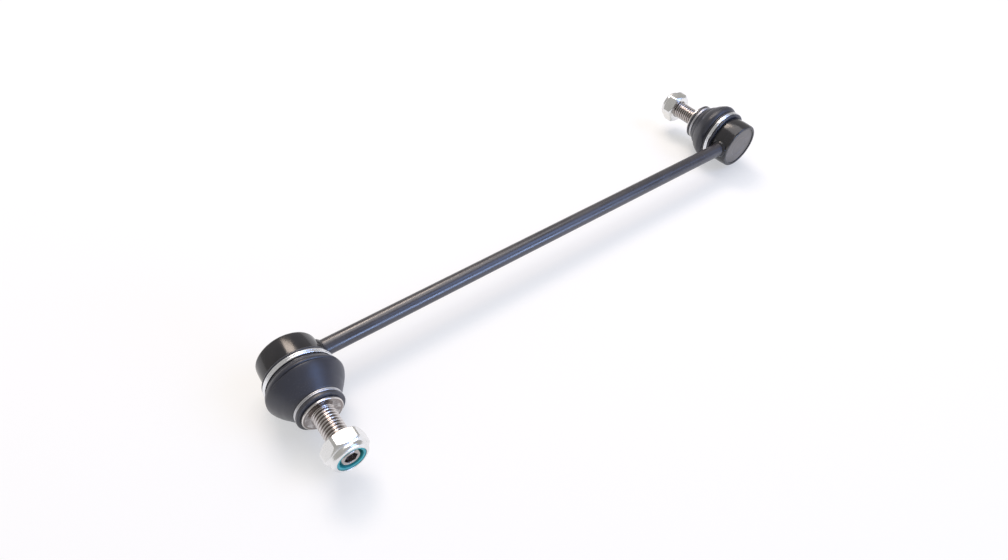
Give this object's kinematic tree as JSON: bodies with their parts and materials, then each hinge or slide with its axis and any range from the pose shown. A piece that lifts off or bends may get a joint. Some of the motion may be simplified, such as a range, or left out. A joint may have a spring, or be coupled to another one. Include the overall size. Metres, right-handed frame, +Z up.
{
  "type": "stabilizer link",
  "caption": "Slim black steel rod with a sealed, boot-covered ball joint at each end, threaded studs pointing opposite ways and nylon lock nuts; ties an anti-roll bar to a suspension strut.",
  "frame": {"origin": "on the rod's axis, halfway between the two housing axes", "axes": "+X along the rod towards the right end, +Y along the right stud (the left stud points along -Y), +Z up as the link lies flat"},
  "size_m": [0.326, 0.1072, 0.034],
  "materials": {
    "black_paint": "satin black coating on steel",
    "plate_coating": "thin brownish grey coating on steel",
    "seat_plastic": "moulded, greased",
    "stud_steel": "plated, rolled thread",
    "boot_rubber": "moulded, faint sheen",
    "ring_wire": "drawn bright wire",
    "zinc_plate": "bright zinc plate",
    "insert_nylon": "moulded turquoise nylon"
  },
  "bodies": {
    "link": {"link_rod": "black_paint", "left_rod_weld": "black_paint", "right_rod_weld": "black_paint", "left_housing": "black_paint", "right_housing": "black_paint", "left_closing_plate": "plate_coating", "right_closing_plate": "plate_coating", "left_ball_seat": "seat_plastic", "right_ball_seat": "seat_plastic", "left_boot_clamp_ring": "ring_wire", "right_boot_clamp_ring": "ring_wire"},
    "left_boot": {"left_dust_boot": "boot_rubber"},
    "left_neck": {"left_boot_neck_ring": "ring_wire"},
    "left_stud": {"left_ball_stud": "stud_steel"},
    "left_insert": {"left_nut_insert": "insert_nylon"},
    "left_nut": {"left_lock_nut": "zinc_plate"},
    "right_boot": {"right_dust_boot": "boot_rubber"},
    "right_neck": {"right_boot_neck_ring": "ring_wire"},
    "right_stud": {"right_ball_stud": "stud_steel"},
    "right_insert": {"right_nut_insert": "insert_nylon"},
    "right_nut": {"right_lock_nut": "zinc_plate"}
  },
  "joints": [
    {"name": "left_swing_x", "type": "hinge", "parent": "link", "child": "left_boot", "pos_m": [-0.146, -0.0029, 0], "axis": [1, 0, 0], "range_deg": [-19, 19], "deforming": ["left_dust_boot"]},
    {"name": "left_swing_z", "type": "hinge", "parent": "left_boot", "child": "left_neck", "pos_m": [-0.146, -0.0029, 0], "axis": [0, 0, 1], "range_deg": [-19, 19], "deforming": ["left_dust_boot"]},
    {"name": "left_stud_spin", "type": "hinge", "parent": "left_neck", "child": "left_stud", "pos_m": [-0.146, -0.0029, 0], "axis": [0, -1, 0], "continuous": true},
    {"name": "left_nut_travel", "type": "slide", "parent": "left_stud", "child": "left_insert", "axis": [0, -1, 0], "range_m": [-0.01425, 0.012]},
    {"name": "left_nut_turn", "type": "hinge", "parent": "left_insert", "child": "left_nut", "pos_m": [-0.146, -0.0029, 0], "axis": [0, -1, 0], "range_deg": [-3420, 2880]},
    {"name": "right_swing_x", "type": "hinge", "parent": "link", "child": "right_boot", "pos_m": [0.146, 0.0029, 0], "axis": [1, 0, 0], "range_deg": [-19, 19], "deforming": ["right_dust_boot"]},
    {"name": "right_swing_z", "type": "hinge", "parent": "right_boot", "child": "right_neck", "pos_m": [0.146, 0.0029, 0], "axis": [0, 0, 1], "range_deg": [-19, 19], "deforming": ["right_dust_boot"]},
    {"name": "right_stud_spin", "type": "hinge", "parent": "right_neck", "child": "right_stud", "pos_m": [0.146, 0.0029, 0], "axis": [0, 1, 0], "continuous": true},
    {"name": "right_nut_travel", "type": "slide", "parent": "right_stud", "child": "right_insert", "axis": [0, 1, 0], "range_m": [-0.01425, 0.012]},
    {"name": "right_nut_turn", "type": "hinge", "parent": "right_insert", "child": "right_nut", "pos_m": [0.146, 0.0029, 0], "axis": [0, 1, 0], "range_deg": [-3420, 2880]}
  ],
  "couplings": [
    {"joint": "left_nut_travel", "follows": "left_nut_turn", "m_per_rad": 0.00023873},
    {"joint": "right_nut_travel", "follows": "right_nut_turn", "m_per_rad": 0.00023873}
  ]
}
